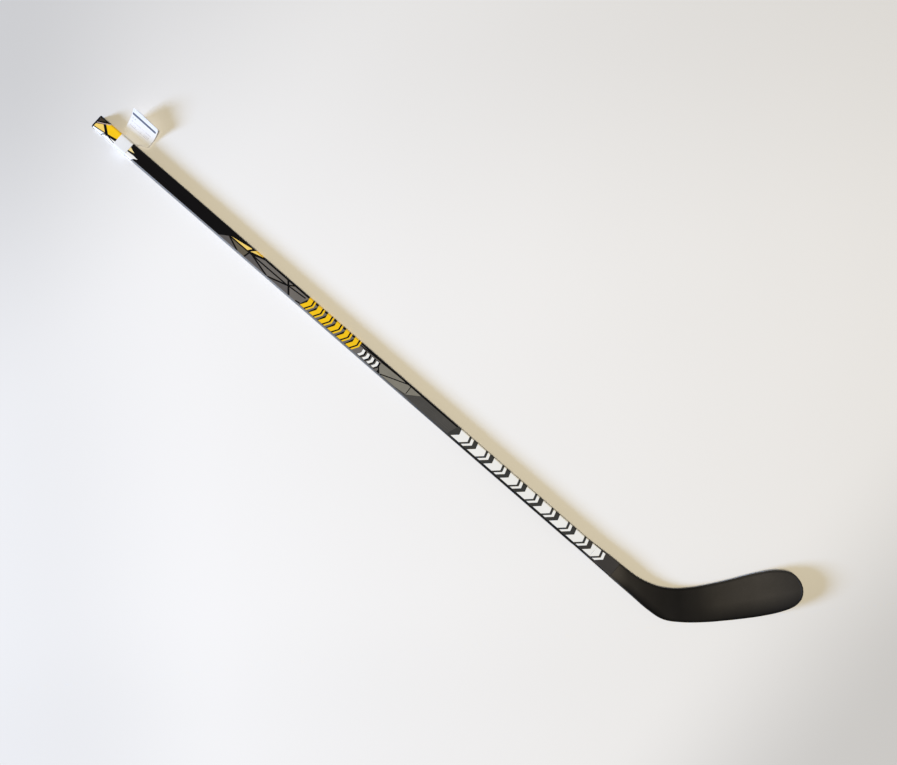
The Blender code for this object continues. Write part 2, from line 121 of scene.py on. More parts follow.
class Tree:
    """A small writer for the shader nodes of a material or a world."""

    def __init__(self, owner, output="ShaderNodeOutputMaterial"):
        self.owner = owner
        owner.use_nodes = True
        self.node_tree = owner.node_tree
        self.node_tree.nodes.clear()
        self.output = self.add(output)
        self.coord = None

    def add(self, kind, **props):
        node = self.node_tree.nodes.new(kind)
        for key, value in props.items():
            setattr(node, key, value)
        return node

    def put(self, socket, value):
        """Links a socket to another, or sets its value."""
        if isinstance(value, bpy.types.NodeSocket):
            self.node_tree.links.new(value, socket)
        else:
            socket.default_value = value

    def position(self, stretch=(1, 1, 1), along_shaft=True):
        """Object coordinates, turned so that x runs down the shaft if asked, and scaled."""
        if self.coord is None:
            self.coord = self.add("ShaderNodeTexCoord")
        turn = self.add("ShaderNodeMapping")
        self.put(turn.inputs["Vector"], self.coord.outputs["Object"])
        if along_shaft:
            turn.inputs["Rotation"].default_value = (0, -LIE, 0)
        scale = self.add("ShaderNodeVectorMath", operation="MULTIPLY")
        self.put(scale.inputs[0], turn.outputs[0])
        scale.inputs[1].default_value = stretch
        return scale.outputs[0]

    def split(self, vector):
        """The x, y and z outputs of a vector."""
        node = self.add("ShaderNodeSeparateXYZ")
        self.put(node.inputs[0], vector)
        return node.outputs

    def noise(
        self, scale, detail=2.0, rough=0.5, stretch=(1, 1, 1), along_shaft=True, distortion=0.0
    ):
        node = self.add("ShaderNodeTexNoise")
        self.put(node.inputs["Vector"], self.position(stretch, along_shaft))
        node.inputs["Scale"].default_value = scale
        node.inputs["Detail"].default_value = detail
        node.inputs["Roughness"].default_value = rough
        node.inputs["Distortion"].default_value = distortion
        return node.outputs["Fac"]

    def ramp(self, value, stops):
        """A colour ramp through (position, colour) stops."""
        node = self.add("ShaderNodeValToRGB")
        elements = node.color_ramp.elements
        while len(elements) > 1:
            elements.remove(elements[-1])
        elements[0].position, elements[0].color = stops[0][0], colour4(stops[0][1])
        for place, colour in stops[1:]:
            elements.new(place).color = colour4(colour)
        self.put(node.inputs["Fac"], value)
        return node.outputs["Color"]

    def calc(self, operation, *values):
        node = self.add("ShaderNodeMath", operation=operation)
        for socket, value in zip(node.inputs, values):
            self.put(socket, value)
        return node.outputs[0]

    def total(self, first, *rest):
        for value in rest:
            first = self.calc("ADD", first, value)
        return first

    def remap(self, value, source, target):
        """Maps the source range onto the target range, clamped."""
        node = self.add("ShaderNodeMapRange", clamp=True)
        self.put(node.inputs["Value"], value)
        for key, limit in zip(("From Min", "From Max", "To Min", "To Max"), source + target):
            self.put(node.inputs[key], limit)
        return node.outputs["Result"]

    def mix(self, factor, a, b, mode="MIX"):
        node = self.add("ShaderNodeMix", data_type="RGBA", blend_type=mode)
        self.put(node.inputs[0], factor)
        for slot, colour in ((6, a), (7, b)):
            is_socket = isinstance(colour, bpy.types.NodeSocket)
            self.put(node.inputs[slot], colour if is_socket else colour4(colour))
        return node.outputs[2]

    def multiply(self, a, b):
        return self.mix(1.0, a, b, "MULTIPLY")

    def grey(self, value):
        """A number as a grey colour."""
        return self.mix(0.0, value, value)

    def bump(self, height, strength, distance):
        node = self.add("ShaderNodeBump")
        node.inputs["Strength"].default_value = strength
        node.inputs["Distance"].default_value = distance
        self.put(node.inputs["Height"], height)
        return node.outputs["Normal"]

    def principled(self, **inputs):
        node = self.add("ShaderNodeBsdfPrincipled")
        for key, value in inputs.items():
            self.put(node.inputs[key.replace("_", " ")], value)
        return node.outputs[0]

    def finish(self, shader):
        """Links the shader to the output and returns the material or world."""
        self.put(self.output.inputs["Surface"], shader)
        return self.owner


def material_tree(name):
    return Tree(bpy.data.materials.new(name))


# ------------------------------------------------------------------ mesh helpers
def link_object(name, mesh):
    ob = bpy.data.objects.new(name, mesh)
    SCENE.collection.objects.link(ob)
    return ob


def mesh_from(name, bm, sharp_degrees):
    mesh = bpy.data.meshes.new(name)
    bm.to_mesh(mesh)
    bm.free()
    mesh.shade_smooth()
    mesh.set_sharp_from_angle(angle=math.radians(sharp_degrees))
    return mesh


def stick_piece(name, mesh, replaces):
    """Adds a mesh as a rigid piece of the stick, in place of the CAD piece it replaces."""
    ob = link_object(name, mesh)
    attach(ob, "stick")
    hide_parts(replaces)


def put_mesh(name, bm, material, replaces, sharp_degrees):
    bmesh.ops.recalc_face_normals(bm, faces=bm.faces)
    mesh = mesh_from(name, bm, sharp_degrees)
    mesh.materials.append(material)
    stick_piece(name, mesh, replaces)


def loft(rings, closed=False):
    """Skins equal rings in turn: capped at both ends, or joined end to end if closed."""
    bm = bmesh.new()
    made = [[bm.verts.new(p) for p in ring] for ring in rings]
    count = len(made[0])
    for a, b in list(zip(made, made[1:])) + ([(made[-1], made[0])] if closed else []):
        for i in range(count):
            j = (i + 1) % count
            bm.faces.new((a[i], a[j], b[j], b[i]))
    if not closed:
        bm.faces.new(made[0][::-1])
        bm.faces.new(made[-1])
    return bm


# ------------------------------------------------------------------ shaft section
def limits(along):
    """Reach of the section towards -W and +W, and its half thickness."""
    flare = smooth_step((along - FLARE_START) / (BLADE_START - FLARE_START))
    return (
        HALF_WIDTH + FLARE_SOLE * flare,
        HALF_WIDTH + FLARE_TOP * flare,
        HALF_THICKNESS + (BLADE_START_HALF_THICKNESS - HALF_THICKNESS) * flare,
    )


def section(along, inset=0.0, radius=CORNER):
    """Points (y, across) round the section, clockwise seen from the butt end.

    They start where the upper narrow side meets its -Y corner.
    """
    steps, flats = 7, 3  # segments on each corner and on each flat
    low, high, half = (limit - inset for limit in limits(along))
    r = max(radius - inset, 0.4 * MM)
    corners = (
        (high - r, -half + r, 0.0),
        (-low + r, -half + r, -90.0),
        (-low + r, half - r, -180.0),
        (high - r, half - r, -270.0),
    )
    arcs = []
    for across, y, start in corners:
        angles = [math.radians(start - 90 * k / steps) for k in range(steps + 1)]
        arcs.append([(y + r * math.sin(t), across + r * math.cos(t)) for t in angles])
    points = []
    for i, arc in enumerate(arcs):
        points += arc
        (y0, z0), (y1, z1) = arc[-1], arcs[(i + 1) % 4][0]
        for k in range(1, flats):
            f = k / flats
            points.append((y0 * (1 - f) + y1 * f, z0 * (1 - f) + z1 * f))
    return points


def section_normal(along, y, across):
    """The section's exact outward normal, or None within the corner centres."""
    low, high, half = limits(along)
    centre_across = min(max(across, -low + CORNER), high - CORNER)
    centre_y = min(max(y, -half + CORNER), half - CORNER)
    normal = Vector((0, y - centre_y, across - centre_across))
    if normal.length < 1e-7:
        return None
    return normal.normalized()


# ------------------------------------------------------------------ shaft finishes
def lacquer(
    name, colour, rough=0.26, coat=0.6, coat_rough=0.09, vary=0.10, spec=0.45, fleck=0.0
):
    """Mottled printed ink under lacquer, with orange peel and hairline handling marks."""
    t = material_tree(name)
    cloud = t.noise(scale=26.0, detail=3.0, rough=0.6)
    grain = t.noise(scale=1500.0, detail=1.0, rough=0.5)
    streak = t.noise(scale=90.0, detail=3.0, rough=0.6, stretch=(0.06, 1, 1))
    shade = t.total(
        t.remap(cloud, NOISE_SPAN, (1 - vary, 1 + vary)),
        t.remap(grain, NOISE_SPAN, (-vary * 0.6, vary * 0.6)),
        t.remap(streak, (0.35, 0.65), (-vary * 0.5, vary * 0.5)),
    )
    base = t.multiply(colour, t.grey(shade))
    if fleck:  # sparse brighter specks
        specks = t.calc("GREATER_THAN", t.noise(scale=2600.0, detail=0.0), 0.68)
        base = t.mix(t.calc("MULTIPLY", specks, fleck), base, scaled(colour, 2.2))
    hair = t.noise(scale=420.0, detail=2.0, rough=0.5, stretch=(0.05, 1, 1), distortion=0.4)
    mark = t.remap(hair, (0.62, 0.72), UNIT)
    peel = t.noise(scale=240.0, detail=1.0, rough=0.4)
    return t.finish(t.principled(
        Base_Color=base,
        Roughness=t.total(rough, t.calc("MULTIPLY", mark, 0.12)),
        Specular_IOR_Level=spec,
        Coat_Weight=coat,
        Coat_Roughness=t.total(coat_rough, t.calc("MULTIPLY", mark, 0.06)),
        Normal=t.bump(peel, strength=0.12, distance=PEEL_HEIGHT),
        Coat_Normal=t.bump(peel, strength=0.07, distance=PEEL_HEIGHT),
    ))


def edge_fade():
    """Metallic grey ink that fades in steps to black towards the blade."""
    fade_length = 1.0  # metres from the butt end
    # (share of the fade length, brightness)
    stops = (
        (0.0, 0.17), (0.28, 0.19), (0.46, 0.20), (0.50, 0.17), (0.66, 0.11),
        (0.715, 0.10), (0.75, 0.055), (0.815, 0.04), (0.85, 0.005), (1.0, 0.004),
    )
    gloss_loss = (0.72, 0.84)  # the print turns dull over this stretch of the shaft
    t = material_tree("finish_edge_fade")
    along = t.calc("SUBTRACT", t.split(t.position())[0], BUTT.dot(U))
    shade = t.ramp(
        t.calc("DIVIDE", along, fade_length),
        [(place, (k, k * 0.97, k * 0.92)) for place, k in stops],
    )
    grain = t.noise(scale=900.0, detail=2.0, rough=0.6, stretch=(0.25, 1, 1))
    cloud = t.noise(scale=30.0, detail=3.0, rough=0.6)
    vary = t.total(
        t.remap(cloud, NOISE_SPAN, (0.93, 1.07)), t.remap(grain, NOISE_SPAN, (-0.05, 0.05))
    )
    peel = t.noise(scale=240.0, detail=1.0, rough=0.4)
    return t.finish(t.principled(
        Base_Color=t.multiply(shade, t.grey(vary)),
        Roughness=t.remap(grain, NOISE_SPAN, (0.38, 0.46)),
        Specular_IOR_Level=t.remap(along, gloss_loss, (0.3, 0.08)),
        Coat_Weight=t.remap(along, gloss_loss, (0.2, 0.0)),
        Coat_Roughness=0.16,
        Normal=t.bump(peel, strength=0.10, distance=PEEL_HEIGHT),
    ))


# name: (display colour, lacquer settings), in the order of the material slots
PAINTS = {
    "black": ((11, 10, 12), dict(spec=0.35, coat=0.4, vary=0.12)),
    "side_black": ((12, 12, 14), dict(rough=0.24, coat=0.7, coat_rough=0.08, vary=0.08)),
    "white": ((247, 246, 242), dict(vary=0.02)),
    "yellow": ((253, 203, 26), dict(vary=0.04)),
    "pale_yellow": ((250, 214, 112), dict(vary=0.04)),
    "cream": ((246, 224, 158), dict(vary=0.04)),
    "brown_grey": ((62, 53, 42), dict(vary=0.12)),
    "grey": ((112, 107, 102), dict(vary=0.06, fleck=0.2)),
    "grey_low": ((94, 90, 88), dict(vary=0.06, fleck=0.2)),
    "grey_warm": ((100, 92, 78), dict(vary=0.06, fleck=0.2)),
    "grey_light": ((131, 127, 116), dict(vary=0.06, fleck=0.2)),
    "grey_dark": ((76, 74, 71), dict(vary=0.08, fleck=0.2)),
    "ground_dark": ((58, 58, 56), dict(vary=0.08, fleck=0.2)),
    "light_line": ((196, 172, 164), dict(vary=0.03)),
    "matte_black": ((62, 58, 54), dict(rough=0.55, coat=0.12, coat_rough=0.4, vary=0.12)),
}
PAINT_MATERIALS = [
    lacquer("finish_" + name, srgb(*colour), **settings)
    for name, (colour, settings) in PAINTS.items()
]
PAINT_MATERIALS.append(edge_fade())
PAINT_SLOT = {name: i for i, name in enumerate([*PAINTS, "edge_fade"])}

# ------------------------------------------------------------------ printed artwork
# The panels are drawn on the print's own grid: s down the shaft, n across its wide faces.
GRID = 1.748  # mm between grid lines
GRID_START = 1.5  # grid spaces from the butt end to s = 0
GRID_STRETCH = 0.00161  # extra share of length along the shaft
GRID_CENTRE = 2.05  # n that lies DROP below the shaft's axis
DROP = 0.78  # mm towards -W
ACROSS_FIT = 0.996  # the distance across is divided by this
TOP, LOW = 17.0, -13.0  # n beyond the two narrow sides
CUT_SNAP = 1e-7  # metres within which a cut uses an existing vertex


def from_grid(s, n):
    """Grid place to metres along and across the shaft."""
    along = (s + GRID_START + s * GRID_STRETCH) * GRID * MM
    across = ((n - GRID_CENTRE) * GRID - DROP) / ACROSS_FIT * MM
    return along, across


def line(start, end, width):
    """A straight line as a four-sided panel."""
    (x0, y0), (x1, y1) = start, end
    length = math.hypot(x1 - x0, y1 - y0)
    nx, ny = -(y1 - y0) / length * width / 2, (x1 - x0) / length * width / 2
    return [(x0 + nx, y0 + ny), (x1 + nx, y1 + ny), (x1 - nx, y1 - ny), (x0 - nx, y0 - ny)]


def black_lines(*lines):
    return [("black", line(*ends_and_width)) for ends_and_width in lines]


def butt_panels():
    """White ground with yellow and black shards, breaking into black further down."""
    return [
        ("white", [(-5, LOW), (-5, TOP), (60, TOP), (60, LOW)]),
        ("black", [(-5, TOP), (15.2, TOP), (15.2, 9.7), (12.6, 9.4), (-0.2, 0.5), (-5, 0.5)]),
        ("black", [(-5, TOP), (-5, LOW), (-1.2, LOW), (-0.9, -3.4), (0.5, 9.7), (0.8, TOP)]),
        ("brown_grey", [(0.9, 8.0), (7.2, 8.5), (0.9, 3.9)]),
        ("pale_yellow", [
            (-0.7, -2.6), (-0.6, -0.2), (2.8, 2.6), (5.3, 4.1), (7.0, 5.4), (15.2, -1.5),
            (13.6, -1.6),
        ]),
        ("black", line((-0.8, 0.4), (9.6, 6.9), 1.3)),
        ("yellow", [
            (7.6, 5.6), (9.2, 7.4), (12.4, 8.8), (14.2, TOP), (28, TOP), (28, 1.6), (25.2, 1.4),
            (16.2, -0.8),
        ]),
        ("black", line((6.2, 6.4), (16.8, -2.0), 2.7)),
        ("light_line", line((-0.3, 1.5), (12.4, 8.4), 0.8)),
        ("light_line", line((0.1, 2.8), (0.1, 8.4), 0.5)),
        ("black", line((-1.9, -3.4), (14.6, -1.0), 0.9)),
        ("black", [
            (15.2, -2.2), (16.2, -0.3), (25.4, 1.6), (28, 1.9), (28, -0.9), (17.1, -2.1),
        ]),
        ("black", line((10.6, -5.4), (15.2, -1.0), 1.1)),
        ("black", line((16.6, -1.4), (27.0, -3.3), 0.7)),
        ("black", [
            (38, TOP), (66, TOP), (66, LOW), (49.6, LOW), (49.6, -5.2), (52.2, -1.9),
            (55.6, -0.2), (50, 0.3), (38, -0.6),
        ]),
        ("cream", [(38, 6.2), (40.6, 5.6), (49.0, 2.6), (40.7, 0.9), (38, 0.8)]),
        ("black", [(60, TOP), (690, TOP), (690, LOW), (60, LOW)]),
    ]


def facet_panels():
    """Grey and yellow facets with black seams, then the darker grounds and the edge ink."""
    return [
        ("grey_low", [
            (157.5, LOW), (157.5, -8.4), (165.8, -3.1), (174.4, 2.5), (176, 3.4), (374, 3.4),
            (374, LOW),
        ]),
        ("grey_warm", [(175, 2.9), (200.3, 2.9), (199.1, -3.1), (189.4, -3.1)]),
        ("grey", [(205.5, 2.9), (249.5, 3.2), (231, -3.1), (227.5, -3.1)]),
        ("grey", [(250.0, 3.3), (258.0, -3.1), (374, -3.1), (374, 3.5)]),
        ("grey", [(206, 3.4), (220, 8.7), (374, 8.7), (374, 3.4)]),
        ("pale_yellow", [(175.2, 3.6), (200.6, 7.9), (197.0, 3.2)]),
        ("pale_yellow", [
            (199.6, 3.6), (204.7, 8.9), (204.7, TOP), (218.4, TOP), (218.0, 9.2), (207.5, 4.7),
        ]),
        ("yellow", [
            (204.0, 8.2), (204.7, 8.9), (204.7, TOP), (218.4, TOP), (218.0, 9.2), (215.5, 8.2),
        ]),
        *black_lines(
            ((174.2, 3.1), (251, 3.4), 1.39),
            ((174.8, 2.7), (189.8, -3.2), 1.52),
            ((200.5, 3.1), (199.1, -3.2), 1.65),
            ((205.0, 3.0), (228.6, -3.1), 1.58),
            ((229.5, -3.1), (250.2, 3.3), 1.58),
            ((247.0, 9.0), (258.0, -3.2), 1.98),
            ((250.2, 3.3), (257.5, 8.2), 1.32),
            ((250.2, 3.6), (273.0, 5.4), 1.32),
            ((266.5, -2.9), (271.5, -1.9), 1.32),
            ((344.5, 6.2), (376, 7.6), 1.19),
            ((372.0, 6.8), (396, 8.7), 1.19),
            ((200.0, 3.4), (219.0, 8.9), 2.11),
        ),
        ("grey_light", [
            (372.8, 1.8), (376.9, -3.0), (376.9, LOW), (396, LOW), (399, -2.7), (412, -1.1),
            (425.6, 8.3), (426, 8.7), (372.8, 8.7),
        ]),
        ("grey_dark", [
            (376.9, LOW), (376.9, -3.0), (399, -2.8), (412.2, -1.2), (426.4, 8.7), (492, 8.7),
            (492, LOW),
        ]),
        *black_lines(
            ((378.4, -2.9), (407.6, 8.2), 1.1),
            ((410.3, 8.4), (410.8, -0.8), 0.9),
            ((372.4, 1.9), (377.2, -3.1), 1.3),
            ((372.0, 6.9), (392.0, 7.6), 0.8),
        ),
        ("black", [(214.0, 8.1), (221.0, 7.3), (640, 7.3), (640, TOP), (214.0, TOP)]),
        ("ground_dark", [(472, 8.6), (690, 8.6), (690, LOW), (470, LOW), (468, -2.0)]),
        ("matte_black", [(645, TOP), (700, TOP), (700, LOW), (641, LOW)]),
        ("edge_fade", [
            (50.0, LOW), (50.0, -4.9), (51.5, -3.35), (644, -3.35), (652, -3.9), (700, -4.1),
            (700, LOW),
        ]),
    ]


# (first s, pitch, count, shapes); a shape is (colour, shift in s, n from, n to, width, lean, tip)
CHEVRON_ROWS = (
    (272.6, 12.0, 6, (
        ("black", -1.1, -3.1, TOP, 8.4, 3.9, 4.4),
        ("yellow", 0.0, -2.9, 10.4, 4.9, 2.8, 4.0),
        ("yellow", 6.6, -2.9, 10.4, 1.8, 2.8, 4.0),
    )),
    (348.0, 6.0, 4, (
        ("black", -0.7, -3.0, 5.6, 5.2, 1.6, 2.6),
        ("white", 0.0, -2.5, 5.1, 2.9, 1.4, 2.2),
    )),
    (471.6, 21.7, 9, (
        ("white", 0.0, -2.6, 9.2, 10.8, 4.6, 6.4),
        ("white", 13.4, -2.6, 9.2, 3.0, 4.6, 6.4),
    )),
)


def chevron(s, low, high, width, lean, tip):
    """An arrow band pointing down the shaft, its upper end shifted by lean."""
    middle = (low + high) / 2
    return [
        (s, low), (s + width, low), (s + width + tip, middle),
        (s + width + lean, high), (s + lean, high), (s + tip, middle),
    ]


def chevron_panels():
    return [
        (colour, chevron(first + pitch * k + shift, *shape))
        for first, pitch, count, shapes in CHEVRON_ROWS
        for k in range(count)
        for colour, shift, *shape in shapes
    ]


def inside(points, x, y):
    hit = False
    for (x0, y0), (x1, y1) in zip(points, points[1:] + points[:1]):
        if (y0 > y) != (y1 > y) and x < x0 + (y - y0) / (y1 - y0) * (x1 - x0):
            hit = not hit
    return hit


def faces_near(bm, points):
    """Faces of the wide sides and corners that overlap the points' bounding box."""
    x0, x1 = min(p[0] for p in points), max(p[0] for p in points)
    z0, z1 = min(p[1] for p in points), max(p[1] for p in points)
    faces = []
    for f in bm.faces:
        if abs(f.normal.y) < 0.12:
            continue
        xs = [v.co.x for v in f.verts]
        zs = [v.co.z for v in f.verts]
        if max(xs) > x0 and min(xs) < x1 and max(zs) > z0 and min(zs) < z1:
            faces.append(f)
    return faces


def print_panels(bm, panels):
    """Cuts the faces along every panel's edges and paints those inside it, in printing order."""
    for colour, grid_points in panels:
        points = [from_grid(s, n) for s, n in grid_points]
        faces = faces_near(bm, points)
        if not faces:
            continue
        verts = list({v for f in faces for v in f.verts})
        edges = list({e for f in faces for e in f.edges})
        geom = verts + edges + faces
        for (ax, az), (bx, bz) in zip(points, points[1:] + points[:1]):
            geom = bmesh.ops.bisect_plane(
                bm,
                geom=geom,
                dist=CUT_SNAP,
                plane_co=(ax, 0, az),
                plane_no=(-(bz - az), 0, bx - ax),
            )["geom"]
        for f in geom:
            if isinstance(f, bmesh.types.BMFace):
                centre = f.calc_center_median()
                if inside(points, centre.x, centre.z):
                    f.material_index = PAINT_SLOT[colour]


# ------------------------------------------------------------------ shaft tube and joint sleeve
def shaft_shell(start, end, ring_step, wall, straight_bore):
    """A tube in shaft coordinates with rounded mouths, black with its narrow sides marked."""
    bevel = MOUTH_BEVEL
    count = max(2, round((end - start) / ring_step))
    at = [start + (end - start) * k / count for k in range(count + 1)]
    outer = [(at[0], bevel), (at[0] + bevel * 0.3, bevel * 0.3), (at[0] + bevel, 0.0)]
    outer += [(a, 0.0) for a in at[1:-1]]
    outer += [(at[-1] - bevel, 0.0), (at[-1] - bevel * 0.3, bevel * 0.3), (at[-1], bevel)]
    rings = [[(a, y, z) for y, z in section(a, inset)] for a, inset in outer]
    for a in (end, start):
        bore = section(min(a, FLARE_START) if straight_bore else a, wall)
        rings.append([(a, y, z) for y, z in bore])
    bm = loft(rings, closed=True)
    bmesh.ops.recalc_face_normals(bm, faces=bm.faces)
    bm.normal_update()
    for f in bm.faces:
        centre = f.calc_center_median()
        n = f.normal
        paint = "black"
        if abs(n.y) < 0.30 and abs(n.x) < 0.5 and abs(n.z) > 0.5:
            outer_low = n.z < 0 and centre.z < -HALF_WIDTH + 1.0 * MM
            inked = outer_low and EDGE_INK_FROM < centre.x < EDGE_INK_TO
            paint = "edge_fade" if inked else "side_black"
        f.material_index = PAINT_SLOT[paint]
    return bm


def shell_normals(mesh):
    """Exact normals on the long outer surfaces, so that printed edges don't show in shading."""
    normals = []
    for poly in mesh.polygons:
        flat = poly.normal
        for loop in poly.loop_indices:
            n = section_normal(*mesh.vertices[mesh.loops[loop].vertex_index].co)
            exact = n is not None and n.dot(flat) > 0.93 and abs(flat.x) < 0.2
            normals.append(n if exact else flat)
    return normals


def make_shell(name, replaces, slot, panels, **shape):
    bm = shaft_shell(**shape)
    print_panels(bm, panels)
    bm.normal_update()
    mesh = mesh_from(name, bm, sharp_degrees=40)
    for material in PAINT_MATERIALS:
        mesh.materials.append(material)
    mesh.normals_split_custom_set(shell_normals(mesh))
    mesh.transform(SHAFT_MATRIX)
    stick_piece(name, mesh, replaces)


PANELS = butt_panels() + facet_panels() + chevron_panels()
make_shell(
    "shaft", "shaft_tube", "shaft_paint", PANELS,
    start=TUBE_START, end=TUBE_END, ring_step=12 * MM, wall=2.0 * MM, straight_bore=True,
)
make_shell(
    "joint_sleeve", "hosel_joint_sleeve", "carbon_ply", PANELS,
    start=SLEEVE_START, end=SLEEVE_END, ring_step=4 * MM, wall=0.6 * MM, straight_bore=False,
)

# ------------------------------------------------------------------ blade outline
# mm: sole x, sole z, top edge x, top edge z, thickness, edge radius, from heel to toe
STATIONS = (
    (-162.4, 61.6, -142.0, 88.1, 14.0, 3.2),
    (-133.4, 31.6, -111.0, 71.4, 10.6, 2.8),
    (-108.8, 12.8, -84.0, 64.9, 8.6, 2.4),
    (-73.0, 4.0, -55.0, 63.4, 7.4, 2.0),
    (-20.0, 0.0, -18.0, 66.2, 6.6, 1.8),
    (14.0, 0.0, 15.0, 70.4, 6.3, 1.8),
    (63.0, 2.0, 60.0, 77.5, 6.0, 1.7),
    (100.0, 6.9, 98.0, 80.1, 5.8, 1.7),
    (124.6, 14.9, 124.0, 74.0, 5.6, 1.7),
    (137.2, 27.2, 137.0, 59.0, 5.4, 1.7),
    (140.9, 42.8, 140.9, 42.8, 5.3, 1.7),
)
CURVE_START_X, CURVE_DEPTH, CURVE_POWER = -20.0 * MM, 17.0 * MM, 2.1
THIN_SOLE, THIN_TOP = 0.10, 0.20  # share of thickness lost at the two long edges
RIM = 4.0 * MM  # width of the rim on the faces

BLADE_ROOT = BUTT + U * BLADE_START
ROOT_LOW, ROOT_HIGH, _ = limits(BLADE_START)
# closed round the toe: along the sole to the tip, then back along the top edge
OUTLINE = [BLADE_ROOT - W * ROOT_LOW]
OUTLINE += [Vector((s[0] * MM, 0, s[1] * MM)) for s in STATIONS]
OUTLINE += [Vector((s[2] * MM, 0, s[3] * MM)) for s in STATIONS[-2::-1]]
OUTLINE += [BLADE_ROOT + W * ROOT_HIGH]
TIP = len(STATIONS)  # outline parameter at the toe's tip
THICKNESS = [2 * BLADE_START_HALF_THICKNESS] + [s[4] * MM for s in STATIONS]
RADIUS = [CORNER] + [s[5] * MM for s in STATIONS]


def loop_point(q):
    """The outline at parameter q: a centripetal Catmull-Rom curve, kept above the floor."""
    i = min(int(q), len(OUTLINE) - 2)
    p1, p2 = OUTLINE[i], OUTLINE[i + 1]
    past_end = U * (p2 - p1).length
    p0 = OUTLINE[i - 1] if i > 0 else p1 - past_end
    p3 = OUTLINE[i + 2] if i + 2 < len(OUTLINE) else p2 - past_end
    t0 = 0.0
    t1 = t0 + (p1 - p0).length ** 0.5
    t2 = t1 + (p2 - p1).length ** 0.5
    t3 = t2 + (p3 - p2).length ** 0.5
    t = t1 + (t2 - t1) * (q - i)

    def between(a, b, ta, tb):
        return a * ((tb - t) / (tb - ta)) + b * ((t - ta) / (tb - ta))

    a1, a2, a3 = between(p0, p1, t0, t1), between(p1, p2, t1, t2), between(p2, p3, t2, t3)
    p = between(between(a1, a2, t0, t2), between(a2, a3, t1, t3), t1, t2)
    return Vector((p.x, 0.0, max(p.z, 0.0)))


def inward(q):
    """Direction from the outline towards the blade's middle."""
    step = 0.02
    d = loop_point(min(q + step, 2 * TIP)) - loop_point(max(q - step, 0.0))
    d.normalize()
    return Vector((-d.z, 0.0, d.x))


def at_station(table, station):
    i = min(int(station), TIP - 1)
    f = smooth_step(station - i) * 0.35 + (station - i) * 0.65
    return table[i] * (1 - f) + table[i + 1] * f


def with_curve(p, y):
    """A point y off the blade's middle surface, which bends towards -Y at the toe."""
    toe_x = STATIONS[-1][0] * MM
    share = max(0.0, (p.x - CURVE_START_X) / (toe_x - CURVE_START_X))
    return Vector((p.x, -CURVE_DEPTH * share**CURVE_POWER + y, p.z))


def face_half(station, share):
    """Half thickness, thinner towards the sole (share 0) and the top edge (share 1)."""
    thinning = THIN_SOLE * (1 - share) ** 3 + THIN_TOP * share**3
    crown = 1.0 - smooth_step(station / 4.0) * thinning
    return at_station(THICKNESS, station) / 2 * crown


def stations(start, end, steps):
    """Parameters from start to end, with so many steps to one station."""
    count = max(1, round((end - start) * steps))
    return [start + (end - start) * k / count for k in range(count + 1)]


# ------------------------------------------------------------------ blade pieces
BLADE_PAINTED_SHEEN = (
    # painted reflection and painted shade along x: (share of the way from heel to toe,
    # brightness)
    (0.0, 1.0), (0.05, 0.85), (0.10, 0.42), (0.172, 0.255), (0.244, 0.20), (0.342, 0.16),
    (0.439, 0.273), (0.536, 0.52), (0.633, 0.60), (0.731, 0.695), (0.803, 0.685),
    (0.875, 0.525), (0.933, 0.44),
)


def painted_sheen_and_shade(t, x, z):
    """Painted light: a painted sheen, paler in the toe half, and painted shade, darkest at the
    heel and along the sole.
    """
    along = t.ramp(t.remap(x, (-0.20, 0.16), UNIT), BLADE_PAINTED_SHEEN)
    # painted shade along the sole, below a line that rises 0.10 for 1 towards the toe
    sole_line = t.calc("MULTIPLY", t.calc("MAXIMUM", x, 0.0), 0.10)
    sole = t.remap(t.calc("SUBTRACT", z, sole_line), (0.0, 0.028), (0.2, 1.0))
    low = t.mix(t.remap(x, (-0.09, 0.0), UNIT), t.grey(1.0), t.grey(sole))
    # past the joint, painted shade on the underside, across the shaft's direction
    dx = t.calc("SUBTRACT", x, BUTT.x)
    dz = t.calc("SUBTRACT", z, BUTT.z)
    down, across = (
        t.total(t.calc("MULTIPLY", dx, axis.x), t.calc("MULTIPLY", dz, axis.z))
        for axis in (U, W)
    )
    under = t.remap(across, (-0.010, 0.001), (0.38, 1.0))
    heel = t.mix(t.remap(down, (1.195, 1.235), UNIT), t.grey(1.0), t.grey(under))
    return t.multiply(along, t.multiply(low, heel))


def moulded(name, colour, rough, pebble_scale, painted_light=False):
    """Matte moulded lacquer over carbon: fine pebble, faint weave and cloudy sheen, and if asked
    a painted sheen and painted shade.
    """
    weave_frequency = 2200.0
    t = material_tree(name)
    cloud = t.noise(scale=14.0, detail=4.0, rough=0.6, along_shaft=False)
    pebble = t.noise(scale=pebble_scale, detail=2.0, rough=0.55, along_shaft=False)
    x, _, z = t.split(t.position(along_shaft=False))
    weave = t.calc("MULTIPLY", *(
        t.calc("SINE", t.calc("MULTIPLY", t.calc(operation, x, z), weave_frequency))
        for operation in ("ADD", "SUBTRACT")
    ))
    shade = t.grey(t.total(
        t.remap(cloud, NOISE_SPAN, (0.88, 1.12)),
        t.remap(pebble, (0.35, 0.65), (-0.10, 0.10)),
        t.calc("MULTIPLY", weave, 0.03),
    ))
    # painted sheen in the toe half and painted shade at the heel, the sole and under the joint
    if painted_light:
        shade = t.multiply(painted_sheen_and_shade(t, x, z), shade)
    height = t.total(pebble, t.calc("MULTIPLY", weave, 0.12))
    return t.finish(t.principled(
        Base_Color=t.multiply(colour, shade),
        Roughness=t.remap(cloud, NOISE_SPAN, (rough - 0.05, rough + 0.05)),
        Specular_IOR_Level=0.32,
        Normal=t.bump(height, strength=0.35, distance=0.00018),
        Coat_Weight=0.06,
        Coat_Roughness=0.35,
    ))


